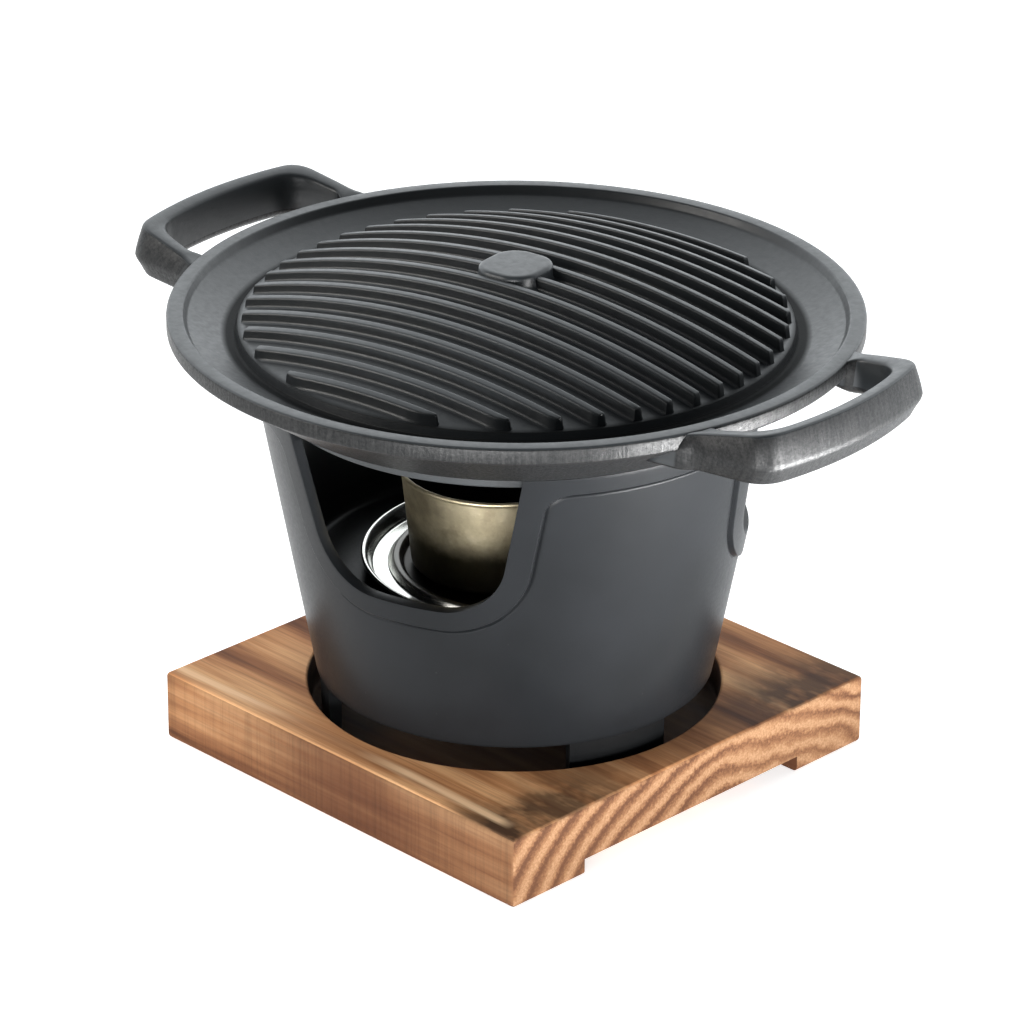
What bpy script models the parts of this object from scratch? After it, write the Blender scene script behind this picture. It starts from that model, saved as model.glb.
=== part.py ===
"""One-person tabletop hibachi grill: wood base, cast stove body, burner tray, fuel cup and grill pan.

Metres, +Z up.  The origin is the centre of the base's underside.  +X runs along the wood
grain, close to the line through the pan's two handles, and one of the stove's windows faces about -Y.
"""
import math

import bmesh
import bpy
from mathutils import Matrix, Vector

MM = 0.001
GAP = 0.3 * MM              # clearance between pieces that rest on each other
MERGE = 0.00001             # merge distance of the turned shapes

# Wood base
BASE_SIDE = 146 * MM
BASE_HEIGHT = 21.5 * MM
BASE_EDGE = 1.2 * MM        # rounding of the block's edges
RECESS_RADIUS = 61 * MM
RECESS_FLOOR = 10 * MM      # height of the recess floor above the table
CHANNEL_WIDTH = 89 * MM     # shallow channel along X under the block
CHANNEL_DEPTH = 5 * MM
ABOVE = 5 * MM              # how far the cutters reach past the surface that they cut

# Stove body: a cone shell with an inner floor, on three short feet
SHELL_BOTTOM = 27.5 * MM
SHELL_TOP = 119 * MM
SHELL_RADIUS = 58.6 * MM    # outer radius at the lower edge
SHELL_TAPER = 0.1838        # gain in radius for each unit of height
SHELL_WALL = 3 * MM
PROUD = 1.0 * MM            # how far the collar and the window borders stand out
COLLAR_HEIGHT = 5.3 * MM
FLOOR_TOP = 57.5 * MM
FLOOR_THICKNESS = 3 * MM
FOOT_RADIUS = 57 * MM
FOOT_WALL = 3.6 * MM
FOOT_SPAN = 33              # degrees covered by each foot
FOOT_MARGIN = 8 * MM        # reach of the cut that leaves the feet
SOFT = 1.0 * MM             # chamfers of the casting
SKIN = 0.01 * MM            # keeps that cut just below the shell's lower edge

# The three alike windows between the feet: U outlines that are open at the top
WINDOW_COUNT = 3
FIRST_WINDOW = -72.4        # degrees, direction of the window that faces -Y
WINDOW_HALF = 36.5 * MM     # half width at the shell's top
WINDOW_SLOPE = 0.23         # loss of half width for each unit of depth
WINDOW_BOTTOM = 73.2 * MM
WINDOW_CORNER = 20 * MM
BORDER = 6.3 * MM           # width of the raised border around a window
FLARE = 6 * MM              # radius where a border runs out into the collar
CUT_NEAR = 35 * MM          # the window cutters run from this radius
CUT_FAR = 95 * MM           # to this one

# Tray under the fuel cup
TRAY_CENTRE = (3.2 * MM, 2.8 * MM)
TRAY_RADIUS = 49.3 * MM
TRAY_HEIGHT = 5.0 * MM
SHEET = 0.9 * MM
BEAD_RADIUS = 39.6 * MM     # middle of the raised bead
BEAD_HALF = 2.4 * MM        # half width of the bead's foot
BEAD_TOP_HALF = 0.8 * MM
BEAD_HEIGHT = 2.4 * MM
TRAY_TROUGH = 45.2 * MM     # outer edge of the flat trough
TRAY_LIP = 47.4 * MM        # where the sloping wall meets the rolled rim
TRAY_LIP_RISE = 3.3 * MM
ROLL = 0.9 * MM             # size of the rolled rim's section

# Fuel cup
CUP_CENTRE = (-3.2 * MM, -3.8 * MM)
CUP_TOP_RADIUS = 28.3 * MM
CUP_BOTTOM_RADIUS = 25.2 * MM
CUP_TOP = 90.3 * MM
CUP_WALL = 1.0 * MM
CUP_CURL = 0.8 * MM         # size of the curled rim's section
CUP_HEEL = 1.6 * MM

# Grill pan
PAN_TURN = 4.75             # degrees, how far the handles are turned off +X
RIB_TURN = 9.4              # degrees, direction of the ribs
RIM_RADIUS = 100 * MM
RIM_TOP = 139.2 * MM
RIM_HEIGHT = 4.4 * MM
RIM_LAND = 4.2 * MM
GUTTER_RADIUS = 81 * MM
GUTTER_FLOOR = 131.6 * MM
SEAT_RADIUS = 77 * MM
SPIGOT_RADIUS = 71.3 * MM
SPIGOT_DEPTH = 4.8 * MM
SPIGOT_WALL = 3 * MM
UNDERSIDE = (90 * MM, 127.6 * MM)   # radius and height where the underside's slope steepens
PAN_SOFT = 0.6 * MM         # chamfers of the pan
DOME_RADIUS = 79 * MM
DOME_EDGE = 135.3 * MM
DOME_RISE = 12.9 * MM
PAN_WALL = 4 * MM
RIB_HEIGHT = 3.2 * MM       # above the disc, at the pan's axis
RIB_GROWTH = 0.0076         # the ribs get taller towards +X by this share of the way
RIB_WIDTH = 2.4 * MM
RIB_PITCH = 9.04 * MM
RIB_FIRST = -2.7 * MM       # offset of the rib nearest to the centre
RIB_REACH = 78.5 * MM       # the ribs end on this circle
RIB_SHIFT = 1.0 * MM        # the circle's centre lies off the pan's axis, towards +X -Y
RIB_END_SLOPE = 1.2 * MM    # how far a rib's top stops short of its foot
RIB_SUNK = 1.6 * MM         # depth of a rib's foot under the disc's surface
BOSS_TOP = 152.5 * MM
BOSS_LENGTH = 19.2 * MM     # along the ribs
BOSS_WIDTH = 20.6 * MM
BOSS_CORNER = 8 * MM
BOSS_OFFSET = -1.2 * MM     # across the ribs
HANDLE_RADIUS = 124.2 * MM  # the bar's widest line, about the pan's axis
HANDLE_WAIST = 134.8 * MM   # height of that line
HANDLE_TOP = 144.1 * MM
HANDLE_TOP_RADIUS = 122.0 * MM
HANDLE_BOTTOM = 128.9 * MM
HANDLE_BOTTOM_RADIUS = 121.2 * MM
HANDLE_HOLE_RADIUS = 117.1 * MM
HANDLE_ARM = 5.2 * MM       # width of each arm
HANDLE_HALF_ROOT = 38.0 * MM
HANDLE_HALF_TIP = 34.9 * MM
HANDLE_ROOT = 88 * MM       # the arms start inside the pan
HANDLE_SHOULDER = 7 * MM    # length of the rounded corner, along each side of it
GRIP_SHOULDER = 8 * MM      # the same for the finger opening
GRIP_ROOT = 80 * MM
HANDLE_MARGIN = 0.5 * MM    # the plan reaches past the turned outer face
HANDLE_SOFT = 0.7 * MM

STEPS = 96


def clear_scene():
    for old in list(bpy.data.objects):
        bpy.data.objects.remove(old, do_unlink=True)


def make_collection(name):
    group = bpy.data.collections.new(name)
    bpy.context.scene.collection.children.link(group)
    return group


def material(name, colour, roughness, metallic):
    mat = bpy.data.materials.new(name)
    mat.use_nodes = True
    shader = mat.node_tree.nodes["Principled BSDF"]
    shader.inputs["Base Color"].default_value = (*colour, 1.0)
    shader.inputs["Roughness"].default_value = roughness
    shader.inputs["Metallic"].default_value = metallic
    mat.diffuse_color = (*colour, 1.0)
    return mat


def mesh_object(name, mesh, group, is_cutter=False):
    obj = bpy.data.objects.new(name, mesh)
    group.objects.link(obj)
    if is_cutter:
        obj.hide_render = True
        obj.display_type = "WIRE"
    return obj


def turned(name, profile, group, is_cutter=False, steps=STEPS):
    """Turn a profile of (radius, height) points about Z; it runs down the outer side."""
    mesh = bpy.data.meshes.new(name)
    points = [(radius, 0.0, height) for radius, height in profile]
    edges = [(i, i + 1) for i in range(len(points) - 1)]
    if profile[0][0] > 0:
        edges.append((len(points) - 1, 0))
    mesh.from_pydata(points, edges, [])
    obj = mesh_object(name, mesh, group, is_cutter)
    screw = obj.modifiers.new("turn", "SCREW")
    screw.axis = "Z"
    screw.steps = steps
    screw.render_steps = steps
    screw.use_merge_vertices = True
    screw.merge_threshold = MERGE
    return obj


def prism(name, outline, low, high, group, is_cutter=True):
    """Extrude a flat closed outline of (x, y) points from height low to high."""
    curve = bpy.data.curves.new(name, "CURVE")
    curve.dimensions = "2D"
    curve.fill_mode = "BOTH"
    curve.extrude = (high - low) / 2
    spline = curve.splines.new("POLY")
    spline.points.add(len(outline) - 1)
    for point, (x, y) in zip(spline.points, outline):
        point.co = (x, y, 0.0, 1.0)
    spline.use_cyclic_u = True
    source = bpy.data.objects.new(name + "_curve", curve)
    bpy.context.scene.collection.objects.link(source)
    bpy.context.view_layer.update()
    depsgraph = bpy.context.evaluated_depsgraph_get()
    mesh = bpy.data.meshes.new_from_object(source.evaluated_get(depsgraph))
    bpy.data.objects.remove(source, do_unlink=True)
    shape = bmesh.new()
    shape.from_mesh(mesh)
    bmesh.ops.remove_doubles(shape, verts=shape.verts, dist=MERGE)
    bmesh.ops.recalc_face_normals(shape, faces=shape.faces)
    bmesh.ops.translate(shape, verts=shape.verts, vec=(0, 0, (low + high) / 2))
    shape.to_mesh(mesh)
    shape.free()
    return mesh_object(name, mesh, group, is_cutter)


def box(name, low, high, group, is_cutter=False):
    mesh = bpy.data.meshes.new(name)
    shape = bmesh.new()
    bmesh.ops.create_cube(shape, size=1.0)
    size = [b - a for a, b in zip(low, high)]
    middle = [(a + b) / 2 for a, b in zip(low, high)]
    bmesh.ops.scale(shape, verts=shape.verts, vec=size)
    bmesh.ops.translate(shape, verts=shape.verts, vec=middle)
    shape.to_mesh(mesh)
    shape.free()
    return mesh_object(name, mesh, group, is_cutter)


def combine(obj, other, operation):
    boolean = obj.modifiers.new(operation.lower(), "BOOLEAN")
    boolean.operation = operation
    boolean.object = other
    boolean.solver = "EXACT"


def finish(obj, mat):
    """Give a sub-part its material; round pieces are shaded smooth between sharp edges."""
    obj.data.materials.append(mat)
    for face in obj.data.polygons:
        face.use_smooth = True
    obj.data.set_sharp_from_angle(angle=math.radians(35))


def arc(centre_x, centre_y, radius, start, end, count):
    """Points on an arc, angles in degrees."""
    points = []
    for i in range(count + 1):
        angle = math.radians(start + (end - start) * i / count)
        points.append((centre_x + radius * math.cos(angle), centre_y + radius * math.sin(angle)))
    return points


def shell_radius(height):
    return SHELL_RADIUS + (height - SHELL_BOTTOM) * SHELL_TAPER


def dome_height(radius):
    return DOME_EDGE + DOME_RISE * (1 - (radius / DOME_RADIUS) ** 2)


# ---------------------------------------------------------------- wood base

def make_wood_base(parts, cutters, mat):
    half = BASE_SIDE / 2
    base = box("wood_base", (-half, -half, 0), (half, half, BASE_HEIGHT), parts)
    bevel = base.modifiers.new("worn_edges", "BEVEL")
    bevel.width = BASE_EDGE
    bevel.segments = 2
    recess_top = BASE_HEIGHT + ABOVE
    recess = turned("cut_recess", [(0, recess_top), (RECESS_RADIUS, recess_top),
                                   (RECESS_RADIUS, RECESS_FLOOR), (0, RECESS_FLOOR)], cutters, True)
    channel = box("cut_channel", (-BASE_SIDE, -CHANNEL_WIDTH / 2, -CHANNEL_DEPTH),
                  (BASE_SIDE, CHANNEL_WIDTH / 2, CHANNEL_DEPTH), cutters, True)
    combine(base, recess, "DIFFERENCE")
    combine(base, channel, "DIFFERENCE")
    finish(base, mat)


# ---------------------------------------------------------------- stove body

def u_outline(grow, flare_top, top):
    """A U open at the top: slanted sides, rounded bottom corners.

    grow widens it all round.  With flare_top the sides run out sideways into the collar.
    """
    slope = WINDOW_SLOPE
    lean = math.atan(slope)
    corner = WINDOW_CORNER + grow
    centre_z = WINDOW_BOTTOM - grow + corner
    side_at_centre = WINDOW_HALF + grow / math.cos(lean) - (SHELL_TOP - centre_z) * slope
    centre_x = side_at_centre - corner / math.cos(lean)
    lean_deg = math.degrees(lean)
    right = arc(centre_x, centre_z, corner, -90, -lean_deg, 9)
    if flare_top:
        line = SHELL_TOP - COLLAR_HEIGHT
        side = side_at_centre + (line - FLARE - centre_z) * slope
        right.append((side, line - FLARE))
        right += arc(side + FLARE, line - FLARE, FLARE, 180, 90, 4)[1:]
        right.append((side + FLARE, top))
    else:
        right.append((side_at_centre + (top - centre_z) * slope, top))
    left = [(-x, z) for x, z in reversed(right)]
    return right + left


def radial_prism(name, outline, angle, group):
    """A prism whose outline stands upright and which runs outwards in one direction."""
    cutter = prism(name, outline, CUT_NEAR, CUT_FAR, group)
    upright = Matrix(((0, 0, 1, 0), (1, 0, 0, 0), (0, 1, 0, 0), (0, 0, 0, 1)))
    turn = Matrix.Rotation(math.radians(angle), 4, "Z")
    cutter.data.transform(turn @ upright)
    return cutter


def sector(name, angle, span, inner, outer, low, high, group):
    outline = arc(0, 0, outer, angle - span / 2, angle + span / 2, 16)
    outline += arc(0, 0, inner, angle + span / 2, angle - span / 2, 16)
    return prism(name, outline, low, high, group)


def body_profile():
    """Section of the shell at full thickness, from the floor's centre up, over and down."""
    top_outer = shell_radius(SHELL_TOP) + PROUD
    inner_bottom = FLOOR_TOP - FLOOR_THICKNESS
    foot_bottom = RECESS_FLOOR + GAP
    return [
        (0, FLOOR_TOP),
        (shell_radius(FLOOR_TOP) - SHELL_WALL - 2 * SOFT, FLOOR_TOP),
        (shell_radius(FLOOR_TOP) - SHELL_WALL, FLOOR_TOP + 2 * SOFT),
        (shell_radius(SHELL_TOP) - SHELL_WALL, SHELL_TOP - SOFT / 2),
        (shell_radius(SHELL_TOP) - SHELL_WALL + SOFT / 2, SHELL_TOP),
        (top_outer - SOFT, SHELL_TOP),
        (top_outer, SHELL_TOP - SOFT),
        (shell_radius(SHELL_BOTTOM) + PROUD, SHELL_BOTTOM),
        (FOOT_RADIUS, SHELL_BOTTOM),
        (FOOT_RADIUS - SOFT / 2, foot_bottom + SOFT / 2),
        (FOOT_RADIUS - SOFT, foot_bottom),
        (FOOT_RADIUS - FOOT_WALL, foot_bottom),
        (FOOT_RADIUS - FOOT_WALL, SHELL_BOTTOM),
        (shell_radius(inner_bottom) - 2 * SHELL_WALL, inner_bottom - 2 * SOFT),
        (shell_radius(inner_bottom) - 2 * SHELL_WALL - 2 * SOFT, inner_bottom),
        (0, inner_bottom),
    ]


def make_stove_body(parts, cutters, mat):
    body = turned("stove_body", body_profile(), parts)
    turn = 360 / WINDOW_COUNT
    windows = [(i + 1, FIRST_WINDOW + turn * i) for i in range(WINDOW_COUNT)]
    collar_line = SHELL_TOP - COLLAR_HEIGHT
    low = SHELL_BOTTOM - ABOVE / 2
    field = turned("cut_field", [(shell_radius(collar_line), collar_line),
                                 (shell_radius(collar_line) + ABOVE, collar_line),
                                 (shell_radius(low) + ABOVE, low),
                                 (shell_radius(low), low)], cutters, True)
    for number, angle in windows:
        outline = u_outline(BORDER, True, SHELL_TOP + ABOVE)
        border = radial_prism("keep_border_%d" % number, outline, angle, cutters)
        combine(field, border, "DIFFERENCE")
    combine(body, field, "DIFFERENCE")
    for number, angle in windows:
        outline = u_outline(0, False, SHELL_TOP + ABOVE)
        hole = radial_prism("cut_window_%d" % number, outline, angle, cutters)
        combine(body, hole, "DIFFERENCE")
        arch = sector("cut_arch_%d" % number, angle, turn - FOOT_SPAN, FOOT_RADIUS - FOOT_MARGIN,
                      FOOT_RADIUS + FOOT_MARGIN, 0, SHELL_BOTTOM - SKIN, cutters)
        combine(body, arch, "DIFFERENCE")
    finish(body, mat)


# ---------------------------------------------------------------- tray and cup

def make_burner_tray(parts, mat):
    """Pressed dish: rolled rim, outer trough, raised bead and a flat middle."""
    floor = FLOOR_TOP + GAP
    rim_top = floor + TRAY_HEIGHT
    inside = floor + SHEET
    slope = (BEAD_HALF - BEAD_TOP_HALF) / 4     # keeps the sheet's thickness on the bead's flanks
    third = ROLL / 3
    profile = [
        (0, inside),
        (BEAD_RADIUS - BEAD_HALF, inside),
        (BEAD_RADIUS - BEAD_TOP_HALF, inside + BEAD_HEIGHT),
        (BEAD_RADIUS + BEAD_TOP_HALF, inside + BEAD_HEIGHT),
        (BEAD_RADIUS + BEAD_HALF, inside),
        (TRAY_TROUGH, inside),
        (TRAY_LIP, inside + TRAY_LIP_RISE),
        (TRAY_RADIUS - ROLL, rim_top),
        (TRAY_RADIUS - third, rim_top),
        (TRAY_RADIUS, rim_top - 2 * third),
        (TRAY_RADIUS - third, rim_top - ROLL - third),
        (TRAY_RADIUS - ROLL, rim_top - ROLL - third),
        (TRAY_TROUGH + SHEET, floor),
        (BEAD_RADIUS + BEAD_HALF - slope, floor),
        (BEAD_RADIUS + slope, floor + BEAD_HEIGHT - SHEET),
        (BEAD_RADIUS - slope, floor + BEAD_HEIGHT - SHEET),
        (BEAD_RADIUS - BEAD_HALF + slope, floor),
        (0, floor),
    ]
    tray = turned("burner_tray", profile, parts, steps=64)
    tray.location = (*TRAY_CENTRE, 0)
    finish(tray, mat)


def make_fuel_cup(parts, mat):
    bottom = FLOOR_TOP + GAP + SHEET + GAP
    inner_floor = bottom + CUP_WALL
    curl = CUP_CURL
    heel = CUP_HEEL
    profile = [
        (0, inner_floor),
        (CUP_BOTTOM_RADIUS - heel - CUP_WALL, inner_floor),
        (CUP_BOTTOM_RADIUS - CUP_WALL, inner_floor + heel),
        (CUP_TOP_RADIUS - CUP_WALL, CUP_TOP - curl),
        (CUP_TOP_RADIUS - curl / 2, CUP_TOP),
        (CUP_TOP_RADIUS + curl / 2, CUP_TOP),
        (CUP_TOP_RADIUS + curl, CUP_TOP - curl),
        (CUP_TOP_RADIUS + curl / 2, CUP_TOP - 2 * curl),
        (CUP_TOP_RADIUS, CUP_TOP - 2 * curl),
        (CUP_BOTTOM_RADIUS, bottom + heel),
        (CUP_BOTTOM_RADIUS - heel, bottom),
        (0, bottom),
    ]
    cup = turned("fuel_cup", profile, parts, steps=64)
    cup.location = (*CUP_CENTRE, 0)
    finish(cup, mat)


# ---------------------------------------------------------------- grill pan

def pan_profile():
    """Section of the pan without ribs, boss and handles."""
    soft = PAN_SOFT
    inner_rim = RIM_RADIUS - RIM_LAND
    seat = SHELL_TOP + GAP
    spigot_inner = SPIGOT_RADIUS - SPIGOT_WALL
    points = []
    rings = 7
    for i in range(rings):
        radius = (DOME_RADIUS - soft) * i / (rings - 1)
        points.append((radius, dome_height(radius)))
    points += [
        (DOME_RADIUS + soft, DOME_EDGE - 2 * soft),
        (GUTTER_RADIUS - soft, GUTTER_FLOOR + soft),
        (GUTTER_RADIUS + soft, GUTTER_FLOOR),
        (inner_rim - 5 * soft, RIM_TOP - 4.5 * soft),
        (inner_rim - 1.5 * soft, RIM_TOP - 3 * soft),
        (inner_rim, RIM_TOP - soft),
        (inner_rim + soft, RIM_TOP),
        (RIM_RADIUS - soft, RIM_TOP),
        (RIM_RADIUS, RIM_TOP - soft),
        (RIM_RADIUS, RIM_TOP - RIM_HEIGHT),
        (RIM_RADIUS - soft, RIM_TOP - RIM_HEIGHT - soft),
        UNDERSIDE,
        (SEAT_RADIUS, seat),
        (SPIGOT_RADIUS, seat),
        (SPIGOT_RADIUS, seat - SPIGOT_DEPTH + soft),
        (SPIGOT_RADIUS - soft, seat - SPIGOT_DEPTH),
        (spigot_inner, seat - SPIGOT_DEPTH),
        (spigot_inner - 2 * soft, dome_height(spigot_inner) - PAN_WALL - 4 * soft),
    ]
    for i in range(5):
        radius = (spigot_inner - SPIGOT_WALL) * (4 - i) / 4
        points.append((radius, dome_height(radius) - PAN_WALL))
    return points


def rib_centre():
    """Centre of the circle on which the ribs end, in the ribs' own directions."""
    angle = math.radians(-45 - RIB_TURN)
    return RIB_SHIFT * math.cos(angle), RIB_SHIFT * math.sin(angle)


def rib_outline(offset):
    """Side view of one rib: its top follows the dome, its foot is sunk into the floor."""
    middle, across = rib_centre()
    foot_half = math.sqrt(RIB_REACH ** 2 - (offset - across) ** 2)
    top_half = foot_half - RIB_END_SLOPE
    count = 12
    top = []
    for i in range(count + 1):
        x = middle + top_half - 2 * top_half * i / count
        top.append((x, dome_height(math.hypot(x, offset)) + RIB_HEIGHT + RIB_GROWTH * x))
    foot = []
    for i in range(count // 2 + 1):
        x = middle - foot_half + 4 * foot_half * i / count
        foot.append((x, dome_height(math.hypot(x, offset)) - RIB_SUNK))
    return top + foot


def boss_outline():
    """Rounded rectangle, taller across the ribs than along them."""
    reach_x = BOSS_LENGTH / 2 - BOSS_CORNER
    reach_y = BOSS_WIDTH / 2 - BOSS_CORNER
    outline = []
    for quarter, (side_x, side_y) in enumerate(((1, 1), (-1, 1), (-1, -1), (1, -1))):
        start = 90 * quarter
        outline += arc(side_x * reach_x, BOSS_OFFSET + side_y * reach_y, BOSS_CORNER, start, start + 90, 4)
    return outline


def handle_half(outer, inset, shoulder):
    """Half of a handle plan, from the root to the middle of the bar at radius outer."""
    tip_y = HANDLE_HALF_TIP - inset
    root_y = HANDLE_HALF_ROOT - inset
    tip_x = math.sqrt(outer ** 2 - tip_y ** 2)
    root = Vector((HANDLE_ROOT, root_y))
    corner = Vector((tip_x, tip_y))
    start = corner + (root - corner).normalized() * shoulder
    end_angle = math.degrees(math.asin(tip_y / outer)) - math.degrees(shoulder / outer)
    end = Vector((outer * math.cos(math.radians(end_angle)), outer * math.sin(math.radians(end_angle))))
    points = [tuple(root)]
    for i in range(6):
        t = i / 5
        spot = start * (1 - t) ** 2 + corner * 2 * t * (1 - t) + end * t ** 2
        points.append(tuple(spot))
    points += arc(0, 0, outer, end_angle, 0, 5)[1:]
    return points


def mirrored(points):
    return points + [(x, -y) for x, y in reversed(points[:-1])]


def handle_hole():
    """Finger opening between the arms; it starts inside the pan, whose rim closes it."""
    inside = (GRIP_ROOT, HANDLE_HALF_ROOT - HANDLE_ARM)
    return mirrored([inside] + handle_half(HANDLE_HOLE_RADIUS, HANDLE_ARM, GRIP_SHOULDER))


def handle_envelope():
    """Section that limits the handle, turned about the pan's axis: it widens to a waist."""
    soft = HANDLE_SOFT
    return [
        (RIM_RADIUS - 3 * MM, RIM_TOP - soft),
        (RIM_RADIUS - soft, RIM_TOP + soft / 5),
        (HANDLE_TOP_RADIUS - soft, HANDLE_TOP),
        (HANDLE_TOP_RADIUS, HANDLE_TOP - soft),
        (HANDLE_RADIUS, HANDLE_WAIST),
        (HANDLE_RADIUS - soft, HANDLE_WAIST - 3 * soft),
        (HANDLE_BOTTOM_RADIUS, HANDLE_BOTTOM + soft / 2),
        (HANDLE_BOTTOM_RADIUS - 2 * soft, HANDLE_BOTTOM),
        (HANDLE_ROOT + 3 * MM, HANDLE_BOTTOM - soft),
    ]


def add_handle(pan, number, cutters):
    """One bow handle: plan outline, cut to the envelope, with the finger opening taken out."""
    turn = Matrix.Rotation(math.radians(PAN_TURN + 180 * number), 4, "Z")
    low = HANDLE_BOTTOM - ABOVE
    high = HANDLE_TOP + ABOVE
    plan = mirrored(handle_half(HANDLE_RADIUS + HANDLE_MARGIN, 0, HANDLE_SHOULDER))
    handle = prism("add_handle_%d" % (number + 1), plan, low, high, cutters)
    hole = prism("cut_grip_%d" % (number + 1), handle_hole(), low - MM, high + MM, cutters)
    handle.data.transform(turn)
    hole.data.transform(turn)
    envelope = turned("limit_handle_%d" % (number + 1), handle_envelope(), cutters, True, steps=72)
    combine(handle, envelope, "INTERSECT")
    combine(handle, hole, "DIFFERENCE")
    combine(pan, handle, "UNION")


def make_grill_pan(parts, cutters, mat):
    pan = turned("grill_pan", pan_profile(), parts, steps=80)
    upright = Matrix(((1, 0, 0, 0), (0, 0, -1, 0), (0, 1, 0, 0), (0, 0, 0, 1)))
    turn = Matrix.Rotation(math.radians(RIB_TURN), 4, "Z")
    reach = int(RIB_REACH / RIB_PITCH) + 1
    number = 0
    for k in range(-reach, reach + 1):
        offset = RIB_FIRST + k * RIB_PITCH
        if abs(offset) > RIB_REACH - RIB_WIDTH:
            continue
        number += 1
        rib = prism("add_rib_%02d" % number, rib_outline(offset), -RIB_WIDTH / 2, RIB_WIDTH / 2, cutters)
        rib.data.transform(turn @ Matrix.Translation((0, offset, 0)) @ upright)
        combine(pan, rib, "UNION")
    boss = prism("add_boss", boss_outline(), dome_height(0) - RIB_SUNK, BOSS_TOP, cutters)
    boss.data.transform(turn)
    combine(pan, boss, "UNION")
    for number in range(2):
        add_handle(pan, number, cutters)
    finish(pan, mat)


def main():
    clear_scene()
    parts = make_collection("hibachi_grill")
    cutters = make_collection("cutters")
    wood = material("charred_wood", (0.42, 0.23, 0.11), 0.6, 0.0)
    coated = material("coated_casting", (0.035, 0.037, 0.04), 0.5, 0.3)
    nonstick = material("nonstick_casting", (0.04, 0.042, 0.046), 0.4, 0.3)
    steel = material("polished_steel", (0.62, 0.61, 0.59), 0.2, 1.0)
    lacquered = material("champagne_metal", (0.55, 0.46, 0.30), 0.35, 1.0)
    make_wood_base(parts, cutters, wood)
    make_stove_body(parts, cutters, coated)
    make_burner_tray(parts, steel)
    make_fuel_cup(parts, lacquered)
    make_grill_pan(parts, cutters, nonstick)


main()
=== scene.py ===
"""Looks of the tabletop hibachi grill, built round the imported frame.

Metres in the frame, +Z up.  Lengths below are written in millimetres and multiplied by MM.
"""
import math

import bmesh
import bpy
from mathutils import Euler, Matrix, Vector


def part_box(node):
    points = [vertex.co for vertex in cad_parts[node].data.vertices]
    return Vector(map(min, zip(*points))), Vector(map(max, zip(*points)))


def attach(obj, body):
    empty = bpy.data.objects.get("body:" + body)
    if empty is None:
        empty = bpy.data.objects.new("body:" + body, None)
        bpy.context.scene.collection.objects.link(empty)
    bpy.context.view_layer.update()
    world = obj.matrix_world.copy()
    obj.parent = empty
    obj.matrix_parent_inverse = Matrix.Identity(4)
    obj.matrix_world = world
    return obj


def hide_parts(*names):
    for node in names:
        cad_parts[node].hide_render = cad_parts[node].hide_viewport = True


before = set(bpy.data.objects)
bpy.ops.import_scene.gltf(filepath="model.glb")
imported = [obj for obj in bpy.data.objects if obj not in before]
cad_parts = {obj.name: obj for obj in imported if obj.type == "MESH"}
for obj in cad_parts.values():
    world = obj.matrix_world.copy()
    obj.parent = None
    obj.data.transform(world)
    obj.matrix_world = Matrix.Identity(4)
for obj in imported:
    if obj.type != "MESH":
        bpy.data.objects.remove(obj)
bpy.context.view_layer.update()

MM = 0.001
TURN = 2 * math.pi

BASE_LOW, BASE_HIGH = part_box("wood_base")
STOVE_LOW, STOVE_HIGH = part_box("stove_body")
TRAY_LOW, TRAY_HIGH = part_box("burner_tray")
CUP_LOW, CUP_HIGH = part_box("fuel_cup")

# Wood base
RECESS_RADIUS = 61 * MM
RECESS_FLOOR = 10 * MM
CHANNEL_HALF = 44.5 * MM
CHANNEL_DEPTH = 5 * MM

# Stove body
SHELL_BOTTOM = 27.5 * MM
SHELL_TOP = STOVE_HIGH.z
SHELL_RADIUS = 58.6 * MM
SHELL_TAPER = 0.1838
SHELL_WALL = 3 * MM
PROUD = 1.0 * MM  # collar and window borders over the field
GROOVE = 0.6  # depth of the groove beside them, as a share of PROUD
COLLAR_HEIGHT = 5.3 * MM
WINDOW_COUNT = 3
FIRST_WINDOW = math.radians(-72.4)
WINDOW_HALF = 36.5 * MM
WINDOW_SLOPE = 0.23
WINDOW_BOTTOM = 73.2 * MM
WINDOW_CORNER = 20 * MM
BORDER = 6.3 * MM
FLARE = 6 * MM
INNER_FLOOR = 57.5 * MM
FLOOR_THICKNESS = 3 * MM
FOOT_RADIUS = 57 * MM
FOOT_WALL = 3.6 * MM
FOOT_SPAN = math.radians(33)

# Grill pan
PAN_TURN = math.radians(4.75)
RIB_TURN = math.radians(9.4)
RIM_RADIUS = 100 * MM
RIM_TOP = 139.2 * MM
DOME_RADIUS = 79 * MM
DOME_EDGE = 135.3 * MM
DOME_RISE = 12.9 * MM
SEAT = 119.3 * MM
SEAT_RADIUS = 77 * MM
SPIGOT_RADIUS = 71.3 * MM
SPIGOT_DEPTH = 4.8 * MM
PAN_WALL = 4 * MM
GUTTER_RADIUS = 81.6 * MM  # where the gutter is deepest
RIB_GROWTH = 0.0024  # the ribs get taller towards +X by this share of their height per millimetre
RIB_PITCH = 9.04 * MM
RIB_FIRST = -2.7 * MM
RIB_REACH = 78.0 * MM
RIB_SHIFT = 1.8 * MM  # of the circle of rib ends, off the pan's axis
RIB_END = 0.8 * MM  # length over which a rib's end rises
RIB_LIMIT = 79.2 * MM  # no rib goes beyond this radius
BOSS_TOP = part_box("grill_pan")[1].z
BOSS_SHIFT = -0.5 * MM  # along the boss's own Y
HANDLE_TOP = 144.1 * MM
HANDLE_WAIST = 134.8 * MM
HANDLE_BOTTOM = 128.9 * MM
HANDLE_TOP_RADIUS = 122.0 * MM
HANDLE_BURIED = 9 * MM  # how far the arms run on into the pan's rim

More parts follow.
